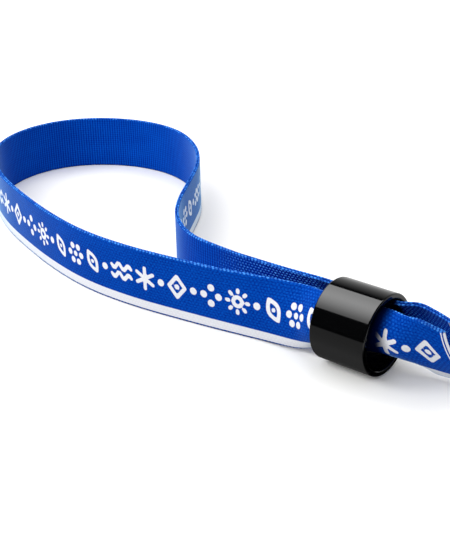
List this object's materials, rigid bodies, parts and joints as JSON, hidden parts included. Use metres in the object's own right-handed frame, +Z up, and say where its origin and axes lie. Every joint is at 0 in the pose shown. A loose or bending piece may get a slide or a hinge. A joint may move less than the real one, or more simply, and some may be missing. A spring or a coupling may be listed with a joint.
{
  "type": "woven fabric wristband",
  "caption": "Blue woven fabric wristband: one narrow printed strip standing on edge in an open teardrop loop, both ends passed through a black plastic barrel closure.",
  "frame": {"origin": "middle of the footprint, on the table the wristband lies on", "axes": "+Z up across the band's width, +X along the barrel's axis from the loop towards the cut tails, +Y towards the loop's far side"},
  "size_m": [0.1668, 0.0708, 0.0177],
  "materials": {
    "woven_band": "woven polyester with a smooth white print, a white edge stripe and ribbed selvedges",
    "barrel_closure": "polished black moulded plastic"
  },
  "bodies": {
    "root": {"woven_band": "woven_band", "barrel_closure": "barrel_closure"}
  },
  "joints": []
}
